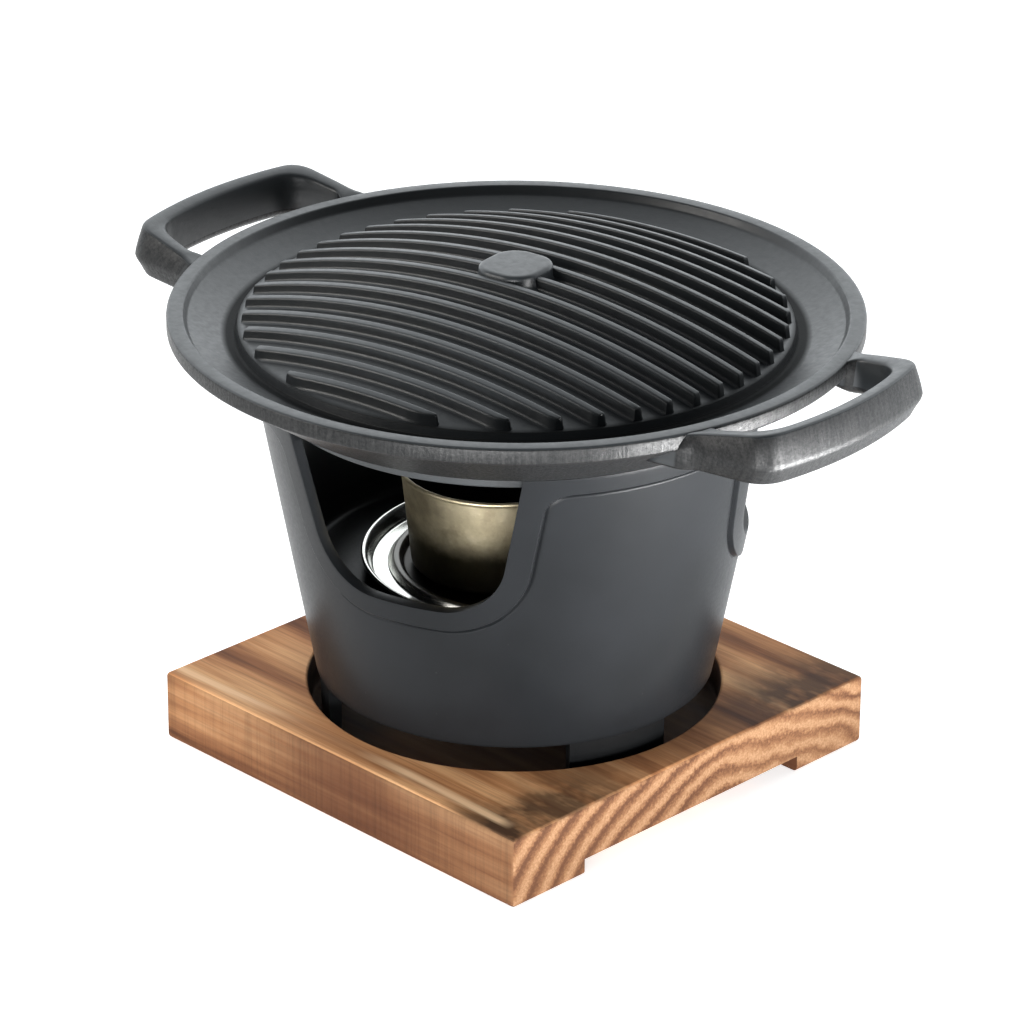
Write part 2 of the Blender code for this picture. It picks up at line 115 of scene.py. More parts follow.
# Stage
VIEW_AZIMUTH = math.radians(45)
VIEW_ELEVATION = math.radians(24.934)
VIEW_ROLL = math.radians(0.326)
VIEW_DISTANCE = 1459.6 * MM
VIEW_TARGET = (-0.68 * MM, -0.68 * MM, 74.24 * MM)
LENS_LENGTH = 176.2
FLOOR_HALF = 4.0
FLOOR_GLOW = 0.62
SWEEP_LIGHT = 2.2
ROOM_LIGHT = 0.14
SWEEP_TOP = (0.54, 0.98, 0.30)  # the sweep fades between these two heights, down to this share


# ---------------------------------------------------------------- mesh helpers

def mesh_object(name, verts, faces):
    mesh = bpy.data.meshes.new(name)
    mesh.from_pydata([tuple(v) for v in verts], [], faces)
    mesh.validate()
    obj = bpy.data.objects.new(name, mesh)
    bpy.context.scene.collection.objects.link(obj)
    return obj


def tidy_mesh(obj, merge=0.00001):
    """Weld coincident points and face every surface outwards."""
    shape = bmesh.new()
    shape.from_mesh(obj.data)
    bmesh.ops.remove_doubles(shape, verts=shape.verts, dist=merge)
    bmesh.ops.dissolve_degenerate(shape, edges=shape.edges, dist=merge / 10)
    bmesh.ops.recalc_face_normals(shape, faces=shape.faces)
    shape.to_mesh(obj.data)
    shape.free()


def smooth(obj, angle=32):
    for face in obj.data.polygons:
        face.use_smooth = True
    obj.data.set_sharp_from_angle(angle=math.radians(angle))


def loft(rings, close_u=True, close_v=False, caps=True):
    """Quads between rings of equally many points; returns points and faces."""
    count = len(rings[0])
    verts = [point for ring in rings for point in ring]
    faces = []
    spans = len(rings) if close_v else len(rings) - 1
    steps = count if close_u else count - 1
    for j in range(spans):
        a = j * count
        b = ((j + 1) % len(rings)) * count
        for i in range(steps):
            k = (i + 1) % count
            faces.append((a + i, a + k, b + k, b + i))
    if caps and close_u and not close_v:
        faces.append(tuple(range(count))[::-1])
        faces.append(tuple(range((len(rings) - 1) * count, len(rings) * count)))
    return verts, faces


def join_parts(name, parts):
    """One object from several (points, faces) shapes."""
    verts = []
    faces = []
    for part_verts, part_faces in parts:
        start = len(verts)
        verts += [Vector(v) for v in part_verts]
        faces += [tuple(start + i for i in face) for face in part_faces]
    return mesh_object(name, verts, faces)


def rounded(corners, segments=4):
    """Open path through (x, y, radius) corners, with arcs in place of the corners."""
    path = []
    last = len(corners) - 1
    for i, (x, y, radius) in enumerate(corners):
        here = Vector((x, y))
        if radius == 0 or i in (0, last):
            path.append((x, y))
            continue
        before = Vector(corners[i - 1][:2]) - here
        after = Vector(corners[i + 1][:2]) - here
        angle = before.angle(after)
        reach = radius / math.tan(angle / 2)
        reach = min(reach, 0.49 * before.length, 0.49 * after.length)
        radius = reach * math.tan(angle / 2)
        inwards = (before.normalized() + after.normalized()).normalized()
        centre = here + inwards * (radius / math.sin(angle / 2))
        start = here + before.normalized() * reach - centre
        finish = here + after.normalized() * reach - centre
        turn = -start.angle_signed(finish)
        for k in range(segments + 1):
            part = turn * k / segments
            path.append((centre.x + start.x * math.cos(part) - start.y * math.sin(part),
                         centre.y + start.x * math.sin(part) + start.y * math.cos(part)))
    return path


def lathe(profile, steps=256, centre=(0, 0)):
    """Turn a closed section of (radius, height) points about Z."""
    rings = []
    for step in range(steps):
        angle = TURN * step / steps
        rings.append([Vector((centre[0] + r * math.cos(angle), centre[1] + r * math.sin(angle), z))
                      for r, z in profile])
    return loft(rings, close_u=profile[0][0] > 0, close_v=True, caps=False)


def place(shape, matrix):
    verts, faces = shape
    return [matrix @ Vector(v) for v in verts], faces


# ---------------------------------------------------------------- material helpers

class Nodes:
    """Short names for building one material."""

    def __init__(self, name):
        self.material = bpy.data.materials.new(name)
        self.material.use_nodes = True
        self.tree = self.material.node_tree
        self.shader = self.tree.nodes["Principled BSDF"]
        self.position = self.tree.nodes.new("ShaderNodeTexCoord").outputs["Object"]

    def link(self, source, target):
        self.tree.links.new(source, target)

    def put(self, socket, value):
        if isinstance(value, bpy.types.NodeSocket):
            self.link(value, socket)
        else:
            socket.default_value = value

    def mapping(self, scale, location=(0, 0, 0)):
        node = self.tree.nodes.new("ShaderNodeMapping")
        self.link(self.position, node.inputs["Vector"])
        node.inputs["Location"].default_value = location
        node.inputs["Scale"].default_value = scale
        return node.outputs["Vector"]

    def noise(self, scale, detail=3, roughness=0.55, vector=None):
        node = self.tree.nodes.new("ShaderNodeTexNoise")
        self.link(vector or self.position, node.inputs["Vector"])
        node.inputs["Scale"].default_value = scale
        node.inputs["Detail"].default_value = detail
        node.inputs["Roughness"].default_value = roughness
        return node.outputs["Fac"]

    def voronoi(self, scale):
        node = self.tree.nodes.new("ShaderNodeTexVoronoi")
        self.link(self.position, node.inputs["Vector"])
        node.inputs["Scale"].default_value = scale
        return node.outputs["Distance"]

    def ramp(self, value, stops):
        node = self.tree.nodes.new("ShaderNodeValToRGB")
        elements = node.color_ramp.elements
        while len(elements) < len(stops):
            elements.new(0.5)
        for element, (place_at, colour) in zip(elements, stops):
            element.position = place_at
            shade = colour if isinstance(colour, tuple) else (colour, colour, colour)
            element.color = (*shade, 1.0)
        self.link(value, node.inputs["Fac"])
        return node.outputs["Color"]

    def remap(self, value, low, high, to_low, to_high):
        node = self.tree.nodes.new("ShaderNodeMapRange")
        self.put(node.inputs["Value"], value)
        node.inputs["From Min"].default_value = low
        node.inputs["From Max"].default_value = high
        node.inputs["To Min"].default_value = to_low
        node.inputs["To Max"].default_value = to_high
        return node.outputs["Result"]

    def math(self, operation, first, second=0.0):
        node = self.tree.nodes.new("ShaderNodeMath")
        node.operation = operation
        self.put(node.inputs[0], first)
        self.put(node.inputs[1], second)
        return node.outputs[0]

    def plus(self, first, second):
        return self.math("ADD", first, second)

    def minus(self, first, second):
        return self.math("SUBTRACT", first, second)

    def times(self, first, second):
        return self.math("MULTIPLY", first, second)

    def hypot(self, x, y):
        return self.math("SQRT", self.plus(self.times(x, x), self.times(y, y)))

    def mix(self, factor, first, second, blend="MIX"):
        node = self.tree.nodes.new("ShaderNodeMix")
        node.data_type = "RGBA"
        node.blend_type = blend
        self.put(node.inputs["Factor"], factor)
        colour_a = [s for s in node.inputs if s.name == "A" and s.type == "RGBA"][0]
        colour_b = [s for s in node.inputs if s.name == "B" and s.type == "RGBA"][0]
        self.put(colour_a, first if isinstance(first, bpy.types.NodeSocket) else (*first, 1.0))
        self.put(colour_b, second if isinstance(second, bpy.types.NodeSocket) else (*second, 1.0))
        return [s for s in node.outputs if s.type == "RGBA"][0]

    def blend(self, factor, first, second):
        """Plain mix of two numbers."""
        return self.plus(self.times(first, self.minus(1.0, factor)), self.times(second, factor))

    def combine(self, x, y, z):
        node = self.tree.nodes.new("ShaderNodeCombineXYZ")
        for socket, value in zip(node.inputs, (x, y, z)):
            self.put(socket, value)
        return node.outputs[0]

    def facing(self):
        """The surface's own direction, split into X, Y and Z."""
        return self.split(self.tree.nodes.new("ShaderNodeNewGeometry").outputs["True Normal"])

    def split(self, vector=None):
        node = self.tree.nodes.new("ShaderNodeSeparateXYZ")
        self.link(vector or self.position, node.inputs[0])
        return node.outputs

    def bump(self, height, strength, distance):
        node = self.tree.nodes.new("ShaderNodeBump")
        node.inputs["Strength"].default_value = strength
        node.inputs["Distance"].default_value = distance
        self.link(height, node.inputs["Height"])
        return node.outputs["Normal"]

    def set(self, **values):
        names = {"colour": "Base Color", "roughness": "Roughness", "metallic": "Metallic",
                 "normal": "Normal", "specular": "Specular IOR Level"}
        for key, value in values.items():
            self.put(self.shader.inputs[names[key]], value)
        return self.material


# ---------------------------------------------------------------- materials

def coated_material():
    """Matte charcoal coating with a fine powder texture and a few specks of dust."""
    n = Nodes("coated_casting")
    powder = n.noise(2600, detail=2, roughness=0.6)
    cloud = n.noise(28, detail=3)
    dust = n.ramp(n.voronoi(150), [(0.0, 1.0), (0.018, 0.9), (0.032, 0.0), (1.0, 0.0)])
    shade = n.ramp(cloud, [(0.3, (0.0075, 0.0083, 0.0092)), (0.7, (0.0105, 0.0115, 0.0130))])
    # painted shade: the foot of the shell and the feet, down in the wood's recess, are darkened towards
    # black
    shade = n.mix(n.remap(n.split()[2], 27.0 * MM, 28.5 * MM, 0.7, 0.0), shade, (0.003, 0.003, 0.003))
    colour = n.mix(n.times(dust, 0.10), shade, (0.40, 0.40, 0.40))
    rough = n.remap(n.noise(900, detail=2), 0.3, 0.7, 0.31, 0.38)
    normal = n.bump(powder, 0.10, 0.00012)
    return n.set(colour=colour, roughness=rough, metallic=0.0, specular=0.12, normal=normal)


def nonstick_material():
    """Dark grey non-stick coating; the upright outer sides are rough cast, grainy and glittering."""
    n = Nodes("nonstick_casting")
    x, y, z = n.split()
    radius = n.hypot(x, y)
    face_x, face_y, upward = n.facing()
    outward = n.plus(n.times(x, face_x), n.times(y, face_y))
    outer = n.times(n.remap(radius, RIM_RADIUS - 1.0 * MM, RIM_RADIUS - 0.2 * MM, 0.0, 1.0),
                    n.remap(outward, -4 * MM, 4 * MM, 0.0, 1.0))
    upright = n.remap(n.math("ABSOLUTE", upward), 0.50, 0.80, 1.0, 0.0)
    below = n.times(n.remap(upward, -0.35, -0.15, 1.0, 0.0),
                    n.remap(radius, SEAT_RADIUS - 1 * MM, SEAT_RADIUS, 0.0, 1.0))
    rough_side = n.math("MAXIMUM", n.times(outer, upright), below)
    # smooth coat
    cloud = n.noise(24, detail=3)
    shade = n.ramp(cloud, [(0.3, (0.013, 0.0155, 0.0175)), (0.7, (0.018, 0.021, 0.0235))])
    rough = n.remap(n.noise(520, detail=2), 0.3, 0.7, 0.34, 0.44)
    fine = n.plus(n.times(n.noise(1900, detail=2, roughness=0.6), 0.5),
                  n.noise(620, detail=3, roughness=0.65))
    # the deepest part of the gutter, along the disc, is painted dark as shade, and made dull
    away = n.math("ABSOLUTE", n.minus(radius, GUTTER_RADIUS))
    bottom = n.times(n.remap(away, 1.4 * MM, 3.2 * MM, 1.0, 0.0),
                     n.remap(upward, 0.2, 0.5, 0.0, 1.0))
    shade = n.mix(n.times(bottom, 0.75), shade, (0.003, 0.003, 0.003))
    rough = n.blend(bottom, rough, 0.62)
    # rough sides: upright scratches round the axis, and grain
    around = n.math("ARCTAN2", y, x)
    lines = n.noise(1.0, detail=3, roughness=0.7,
                    vector=n.combine(n.times(around, 130.0), n.times(z, 90.0), 0.0))
    grain = n.noise(1100, detail=4, roughness=0.75)
    worn = n.ramp(n.plus(n.times(grain, 0.6), n.times(lines, 0.4)), [(0.42, 0.0), (0.68, 1.0)])
    coarse = n.mix(worn, (0.007, 0.0075, 0.008), (0.014, 0.014, 0.014))
    colour = n.mix(rough_side, shade, coarse)
    side_rough = n.remap(grain, 0.35, 0.65, 0.44, 0.34)
    roughness = n.blend(rough_side, rough, side_rough)
    metal = n.times(rough_side, n.remap(worn, 0.0, 1.0, 0.0, 0.1))
    shine = n.blend(rough_side, n.remap(bottom, 0.0, 1.0, 0.5, 0.12),
                    n.remap(worn, 0.0, 1.0, 0.16, 0.38))
    height = n.blend(rough_side, n.times(fine, 0.3), n.plus(n.times(grain, 0.8), n.times(lines, 0.9)))
    normal = n.bump(height, 0.40, 0.00022)
    return n.set(colour=colour, roughness=roughness, metallic=metal, specular=shine, normal=normal)


def steel_material():
    """Polished stainless sheet with faint turned lines; its middle, out to the bead, is painted dark and
    dull as shade round the cup.
    """
    n = Nodes("polished_steel")
    x, y = n.split()[:2]
    middle = centre_of(TRAY_LOW, TRAY_HIGH)
    out_x = n.minus(x, middle[0])
    out_y = n.minus(y, middle[1])
    radius = n.hypot(out_x, out_y)
    # painted shade: near black in the gap round the cup, dim grey on the bead
    painted_shade = n.remap(radius, 39.8 * MM, 40.8 * MM, 1.0, 0.0)
    middle_shade = n.mix(n.remap(radius, 36.4 * MM, 37.4 * MM, 0.0, 1.0), (0.030, 0.028, 0.025),
                 (0.17, 0.165, 0.155))
    lines = n.noise(700, detail=2, vector=n.mapping(scale=(1, 1, 6)))
    smudge = n.noise(45, detail=3)
    bright = n.ramp(smudge, [(0.3, (0.60, 0.60, 0.57)), (0.7, (0.72, 0.72, 0.68))])
    colour = n.mix(painted_shade, bright, middle_shade)
    rough = n.blend(painted_shade, n.remap(smudge, 0.3, 0.7, 0.12, 0.22), 0.38)
    normal = n.bump(lines, 0.05, 0.00006)
    return n.set(colour=colour, roughness=rough, metallic=1.0, normal=normal)


def champagne_material():
    """Satin champagne lacquer, with painted shadow darkening it towards the bottom; the can's inside is
    near black.
    """
    n = Nodes("champagne_metal")
    middle = centre_of(CUP_LOW, CUP_HIGH)
    x, y, z = n.split()
    facing = n.facing()
    outward = n.plus(n.times(n.minus(x, middle[0]), facing[0]),
                     n.times(n.minus(y, middle[1]), facing[1]))
    inside = n.remap(outward, -4 * MM, -1 * MM, 1.0, 0.0)
    stain = n.noise(150, detail=4, roughness=0.65)
    lacquer = n.ramp(stain, [(0.32, (0.50, 0.42, 0.28)), (0.5, (0.62, 0.54, 0.36)),
                             (0.68, (0.72, 0.63, 0.44))])
    # painted shadow: the window's lower edge shades the cup, so it is darkened towards its bottom with a
    # ragged edge
    window_shadow = n.remap(n.plus(z, n.times(stain, 6 * MM)), 73 * MM, 83 * MM, 0.85, 0.0)
    lacquer = n.mix(window_shadow, lacquer, (0.110, 0.096, 0.066))
    colour = n.mix(inside, lacquer, (0.020, 0.016, 0.012))
    rough = n.blend(inside, n.remap(n.noise(900, detail=2), 0.3, 0.7, 0.44, 0.52), 0.6)
    metal = n.remap(inside, 0.0, 1.0, 1.0, 0.2)
    normal = n.bump(n.noise(1500, detail=2), 0.10, 0.00008)
    return n.set(colour=colour, roughness=rough, metallic=metal, normal=normal)


def growth_rings(n, y, z):
    """Ring pattern of a log whose axis lies along X, below the block."""
    wander = n.noise(1.0, detail=3, vector=n.mapping(scale=(9, 30, 30)))
    bend = n.times(n.minus(wander, 0.5), 19 * MM)
    fray = n.noise(1.0, detail=2, vector=n.mapping(scale=(60, 900, 900)))
    ragged = n.times(n.minus(fray, 0.5), 3.5 * MM)
    across = n.plus(n.minus(y, 22 * MM), bend)
    below = n.plus(n.plus(z, 24 * MM), n.plus(bend, ragged))
    radius = n.math("SQRT", n.plus(n.times(across, across), n.times(n.times(below, below), 2.2)))
    ring = n.math("FRACT", n.times(radius, 112.0))
    return n.ramp(ring, [(0.0, 0.45), (0.15, 0.08), (0.38, 0.05), (0.65, 0.55), (0.85, 0.95),
                         (1.0, 0.45)])


def wood_side(n, brown, broad, saw, along_x):
    """Upright sides: painted shade halves them against the top and makes them darker along the middle of
    their length, broken up by tone noise, with saw marks across the grain.
    """
    along = n.ramp(along_x, [(0.0, 0.0), (0.12, 0.15), (0.40, 0.95), (0.62, 0.92), (0.85, 0.78),
                             (1.0, 0.80)])
    # painted shade: darker towards dark brown along the middle and +X part of each side, then the whole
    # side multiplied down to about half
    side_shade = n.times(along, n.remap(broad, 0.3, 0.6, 1.0, 0.70))
    painted_shade = n.mix(1.0, n.mix(side_shade, brown, (0.125, 0.046, 0.021)), (0.50, 0.48, 0.48), "MULTIPLY")
    return n.mix(1.0, painted_shade, n.ramp(saw, [(0.32, 0.80), (0.55, 1.0)]), "MULTIPLY")


def wood_char(n, x, along_y):
    """How charred the top is: patches near the +X edge."""
    half = BASE_HIGH.x
    patches = n.noise(1.0, detail=4, roughness=0.65,
                      vector=n.mapping(scale=(30, 62, 62), location=(0.1, 0.4, 0)))
    near_edge = n.remap(n.plus(x, n.times(patches, 30 * MM)), half - 16 * MM, half + 4 * MM, 0.0, 1.0)
    across = n.ramp(along_y, [(0.0, 1.0), (0.22, 0.85), (0.40, 0.30), (0.62, 0.35), (0.80, 0.95),
                              (1.0, 0.8)])
    return n.times(near_edge, n.times(across, n.remap(patches, 0.34, 0.50, 0.35, 1.0)))


def wood_cream(n, y, streak, along_x):
    """How much a cream streak shows: it is worn along the -Y edge of the top."""
    worn = n.ramp(along_x, [(0.0, 0.8), (0.20, 0.9), (0.36, 0.1), (0.52, 0.1), (0.66, 1.0), (0.92, 1.0),
                            (0.96, 0.0)])
    sway = n.times(n.minus(streak, 0.5), 10 * MM)
    edge_gap = n.math("ABSOLUTE", n.plus(n.plus(y, BASE_HIGH.x - 5.8 * MM), sway))
    return n.times(n.remap(edge_gap, 0.7 * MM, 2.6 * MM, 1.0, 0.0), worn)


def wood_ends(n, rings, broad):
    """End grain: growth rings broken up by fine specks."""
    speck = n.noise(1300, detail=3, roughness=0.75)
    tone = n.plus(n.times(rings, n.remap(broad, 0.35, 0.6, 0.35, 0.75)), n.times(speck, 0.75))
    return n.ramp(tone, [(0.26, (0.36, 0.215, 0.120)), (0.48, (0.25, 0.130, 0.064)),
                         (0.76, (0.150, 0.067, 0.031)), (1.0, (0.09, 0.038, 0.018))])


def wood_hollow(n, distance, z):
    """Where the recess is painted near black, as shade in the hollow under the stove with some char:
    inside its wall, and between its floor and the top.
    """
    top = BASE_HIGH.z
    within = n.times(n.remap(distance, RECESS_RADIUS + 0.2 * MM, RECESS_RADIUS + 0.9 * MM, 1.0, 0.0),
                     n.remap(z, top - 0.8 * MM, top - 0.2 * MM, 1.0, 0.0))
    return n.times(within, n.remap(z, RECESS_FLOOR - 4 * MM, RECESS_FLOOR - 2 * MM, 0.0, 1.0))


def wood_material():
    """Scorched and brushed softwood with its grain along X."""
    n = Nodes("charred_wood")
    x, y, z = n.split()
    face_x, face_y = n.facing()[:2]
    half = BASE_HIGH.x
    along_x = n.remap(x, -half, half, 0.0, 1.0)
    along_y = n.remap(y, -half, half, 0.0, 1.0)
    distance = n.hypot(x, y)
    rings = growth_rings(n, y, z)
    fibre = n.noise(1.0, detail=5, roughness=0.7, vector=n.mapping(scale=(16, 1300, 1300)))
    streak = n.noise(1.0, detail=4, roughness=0.62, vector=n.mapping(scale=(6, 105, 105)))
    broad = n.noise(1.0, detail=2, vector=n.mapping(scale=(9, 22, 22), location=(0.7, 0.2, 0)))
    saw = n.noise(1.0, detail=3, roughness=0.65, vector=n.mapping(scale=(620, 40, 22)))
    tone = n.plus(n.times(streak, 0.6), n.times(broad, 0.4))
    brown = n.ramp(tone, [(0.36, (0.13, 0.048, 0.020)), (0.45, (0.33, 0.140, 0.058)),
                          (0.53, (0.58, 0.290, 0.128)), (0.63, (0.88, 0.53, 0.27))])
    lines = n.ramp(fibre, [(0.30, 0.62), (0.50, 1.0), (0.75, 1.08)])
    brown = n.mix(0.8, brown, lines, "MULTIPLY")
    # top: scorched round the recess, charred and worn at its edges
    scorch = n.times(n.remap(distance, RECESS_RADIUS + 0.5 * MM, RECESS_RADIUS + 11 * MM, 0.75, 0.0),
                     n.remap(broad, 0.36, 0.56, 1.0, 0.2))
    top = n.mix(scorch, n.mix(1.0, brown, (0.92, 0.86, 0.82), "MULTIPLY"), (0.115, 0.048, 0.022))
    top = n.mix(n.times(wood_char(n, x, along_y), 0.92), top, (0.028, 0.015, 0.010))
    top = n.mix(n.times(wood_cream(n, y, streak, along_x), 0.80), top, (0.95, 0.64, 0.38))
    # the three kinds of face, then the recess
    side = n.remap(n.math("ABSOLUTE", face_y), 0.5, 0.8, 0.0, 1.0)
    end_face = n.remap(n.math("ABSOLUTE", face_x), 0.45, 0.85, 0.0, 1.0)
    colour = n.mix(side, top, wood_side(n, brown, broad, saw, along_x))
    colour = n.mix(end_face, colour, wood_ends(n, rings, broad))
    # painted shade: the recess is darkened near black, as shade in the hollow, with some char
    colour = n.mix(n.times(wood_hollow(n, distance, z), 0.90), colour, (0.030, 0.015, 0.009))
    rough = n.remap(fibre, 0.3, 0.7, 0.60, 0.76)
    height = n.plus(n.times(fibre, 0.6), n.times(rings, 0.30))
    height = n.plus(height, n.times(side, n.times(saw, 0.5)))
    normal = n.bump(height, 0.35, 0.00025)
    return n.set(colour=colour, roughness=rough, specular=0.14, normal=normal)


# ---------------------------------------------------------------- wood base

def box_shape(low, high):
    verts = [Vector((x, y, z)) for z in (low[2], high[2])
             for y in (low[1], high[1]) for x in (low[0], high[0])]
    faces = [(0, 2, 3, 1), (4, 5, 7, 6), (0, 1, 5, 4), (2, 6, 7, 3), (0, 4, 6, 2), (1, 3, 7, 5)]
    return verts, faces


def cut(obj, cutter):
    boolean = obj.modifiers.new("cut", "BOOLEAN")
    boolean.operation = "DIFFERENCE"
    boolean.solver = "EXACT"
    boolean.object = cutter
    apply_modifiers(obj)
    bpy.data.objects.remove(cutter)


def apply_modifiers(obj):
    bpy.context.view_layer.update()
    depsgraph = bpy.context.evaluated_depsgraph_get()
    mesh = bpy.data.meshes.new_from_object(obj.evaluated_get(depsgraph))
    obj.modifiers.clear()
    obj.data = mesh


def wood_base_piece():
    """Block with a round recess whose edge is eased, and a channel along the grain underneath."""
    block = join_parts("wood_block", [box_shape(BASE_LOW, BASE_HIGH)])
    bevel = block.modifiers.new("eased_edges", "BEVEL")
    bevel.width = 1.3 * MM
    bevel.segments = 4
    top = BASE_HIGH.z
    ease = 0.9 * MM
    section = [(0, top + ease), (RECESS_RADIUS + 2 * ease, top + ease)]
    for i in range(5):
        angle = math.pi / 2 * i / 4
        section.append((RECESS_RADIUS + ease - ease * math.sin(angle),
                        top - ease + ease * math.cos(angle)))
    section += rounded([(RECESS_RADIUS, top - 2 * ease, 0), (RECESS_RADIUS, RECESS_FLOOR, 1.2 * MM),
                        (0, RECESS_FLOOR, 0)])
    recess = join_parts("recess", [lathe(section, steps=192)])
    tidy_mesh(recess)
    cut(block, recess)
    reach = 2 * BASE_HIGH.x
    channel = join_parts("channel", [box_shape((-reach, -CHANNEL_HALF, -CHANNEL_DEPTH),
                                               (reach, CHANNEL_HALF, CHANNEL_DEPTH))])
    cut(block, channel)
    smooth(block, 28)
    keep = block.modifiers.new("even_shading", "WEIGHTED_NORMAL")
    keep.keep_sharp = True
    return block


# ---------------------------------------------------------------- stove body

def shell_radius(height):
    return SHELL_RADIUS + (height - SHELL_BOTTOM) * SHELL_TAPER


# Millimetres down from the stove's top, and out from a window's edge; close together at the grooves
SIDE_LEVELS = [0, 1.3, 2.6, 3.8, 4.7, 5.2, 5.35, 5.5, 5.65, 5.8, 5.95, 6.2, 6.45, 6.7, 7.2, 7.8, 8.5, 9.2,
               9.9, 10.6, 11.4, 12.3, 13.4, 15, 17, 19.5, 22]
NEAR_LEVELS = [0, 1.2, 2.6, 4.2, 5.4, 6.0, 6.2, 6.35, 6.5, 6.65, 6.8, 6.95, 7.2, 7.45, 7.7, 8.2, 8.8, 9.5,
               10.3, 11.2, 12.4, 14.0]
FAR_LEVELS = 8

LEAN = math.atan(WINDOW_SLOPE)
CORNER_Z = WINDOW_BOTTOM + WINDOW_CORNER
CORNER_SIDE = WINDOW_HALF - (SHELL_TOP - CORNER_Z) * WINDOW_SLOPE
CORNER_X = CORNER_SIDE - WINDOW_CORNER / math.cos(LEAN)


def window_distance(w, z):
    """Distance outwards from the U outline of a window, at width w from its middle."""
    w = abs(w)
    along_x = w - CORNER_X
    along_z = z - CORNER_Z
    if along_x <= 0:
        return WINDOW_BOTTOM - z if along_z < 0 else -WINDOW_CORNER
    lean_x = math.cos(LEAN)
    lean_z = -math.sin(LEAN)
    angle = math.atan2(along_z, along_x)
    if angle < -LEAN:
        return math.hypot(along_x, along_z) - WINDOW_CORNER
    return along_x * lean_x + along_z * lean_z - WINDOW_CORNER


def relief(w, z):
    """How far the outside stands proud: 1 on collar and borders, 0 on the field, less in the groove."""
    beyond_border = window_distance(w, z) - BORDER
    below_collar = SHELL_TOP - COLLAR_HEIGHT - z
    if beyond_border < FLARE and below_collar < FLARE:
        outside = FLARE - math.hypot(max(FLARE - beyond_border, 0), max(FLARE - below_collar, 0))
    else:
        outside = min(beyond_border, below_collar)
    share = min(max((outside + 0.05 * MM) / (0.50 * MM), 0.0), 1.0)
    step = 1 - (1 + GROOVE) * share * share * (3 - 2 * share)
    rise = min(max((outside - 0.60 * MM) / (0.65 * MM), 0.0), 1.0)
    return step + GROOVE * rise


def window_stations():
    """Half of the U, from its top corner to its lowest point: (w, z, ray direction)."""
    stations = []
    for depth in SIDE_LEVELS:
        z = SHELL_TOP - depth * MM
        stations.append((WINDOW_HALF - (SHELL_TOP - z) * WINDOW_SLOPE, z, Vector((1, 0))))
    count = 22
    for i in range(count + 1):
        angle = -LEAN - (math.pi / 2 - LEAN) * i / count
        point = (CORNER_X + WINDOW_CORNER * math.cos(angle), CORNER_Z + WINDOW_CORNER * math.sin(angle))
        ray = angle * (i / count) ** 0.5 if i else 0.0
        stations.append((*point, Vector((math.cos(ray), math.sin(ray)))))
    for i in range(1, 5):
        stations.append((CORNER_X * (1 - i / 4), WINDOW_BOTTOM, Vector((0, -1))))
    return stations


def boundary_stations(stations):
    """Where each station's ray ends: down the sector's side, then along its lower edge."""
    side = math.pi / WINDOW_COUNT
    flat = [s for s in stations if s[2].x == 1]
    rest = len(stations) - len(flat)
    side_count = int(rest * 0.45)
    start_z = flat[-1][1]
    ends = [(side, s[1]) for s in flat]
    for i in range(1, side_count + 1):
        ends.append((side, start_z + (SHELL_BOTTOM - start_z) * i / side_count))
    bottom_count = rest - side_count
    for i in range(1, bottom_count + 1):
        ends.append((side * (1 - i / bottom_count), SHELL_BOTTOM))
    return ends


def shell_sheet(inset):
    """One side of half a sector: a grid of points from the window out to the sector's edge."""
    rows = []
    stations = window_stations()
    for (w, z, ray), (end_angle, end_z) in zip(stations, boundary_stations(stations)):
        row = []
        for level in NEAR_LEVELS:
            spot_w = w + ray.x * level * MM
            spot_z = z + ray.y * level * MM
            radius = shell_radius(spot_z) - inset
            row.append((math.asin(spot_w / radius), spot_z, spot_w))
        last_angle, last_z = row[-1][:2]
        for i in range(1, FAR_LEVELS + 1):
            t = i / FAR_LEVELS
            row.append((last_angle + (end_angle - last_angle) * t, last_z + (end_z - last_z) * t, None))
        rows.append(row)
    return rows


def sheet_points(inset, turn, mirror):
    points = []
    for row in shell_sheet(inset):
        line = []
        for angle, z, w in row:
            radius = shell_radius(z) - inset
            if inset == 0:
                width = radius * math.sin(angle) if w is None else w
                radius += PROUD * relief(width, z)
            a = turn + (-angle if mirror else angle)
            line.append(Vector((radius * math.cos(a), radius * math.sin(a), z)))
        points.append(line)
    return points


def grid_faces(rows, columns):
    return [(r * columns + c, r * columns + c + 1, (r + 1) * columns + c + 1, (r + 1) * columns + c)
            for r in range(rows - 1) for c in range(columns - 1)]


def strip(first, second):
    """Quads between two equally long lines of points."""
    verts = list(first) + list(second)
    n = len(first)
    return verts, [(i, i + 1, n + i + 1, n + i) for i in range(n - 1)]


def shell_wall():
    parts = []
    for sector in range(WINDOW_COUNT):
        turn = FIRST_WINDOW + TURN * sector / WINDOW_COUNT
        for mirror in (False, True):
            outer = sheet_points(0, turn, mirror)
            inner = sheet_points(SHELL_WALL, turn, mirror)
            for sheet in (outer, inner):
                flat = [point for line in sheet for point in line]
                parts.append((flat, grid_faces(len(sheet), len(sheet[0]))))
            parts.append(strip([line[0] for line in outer], [line[0] for line in inner]))
            parts.append(strip(outer[0], inner[0]))
            low_rows = [i for i, line in enumerate(outer) if abs(line[-1].z - SHELL_BOTTOM) < 0.01 * MM]
            parts.append(strip([outer[i][-1] for i in low_rows], [inner[i][-1] for i in low_rows]))
    return parts


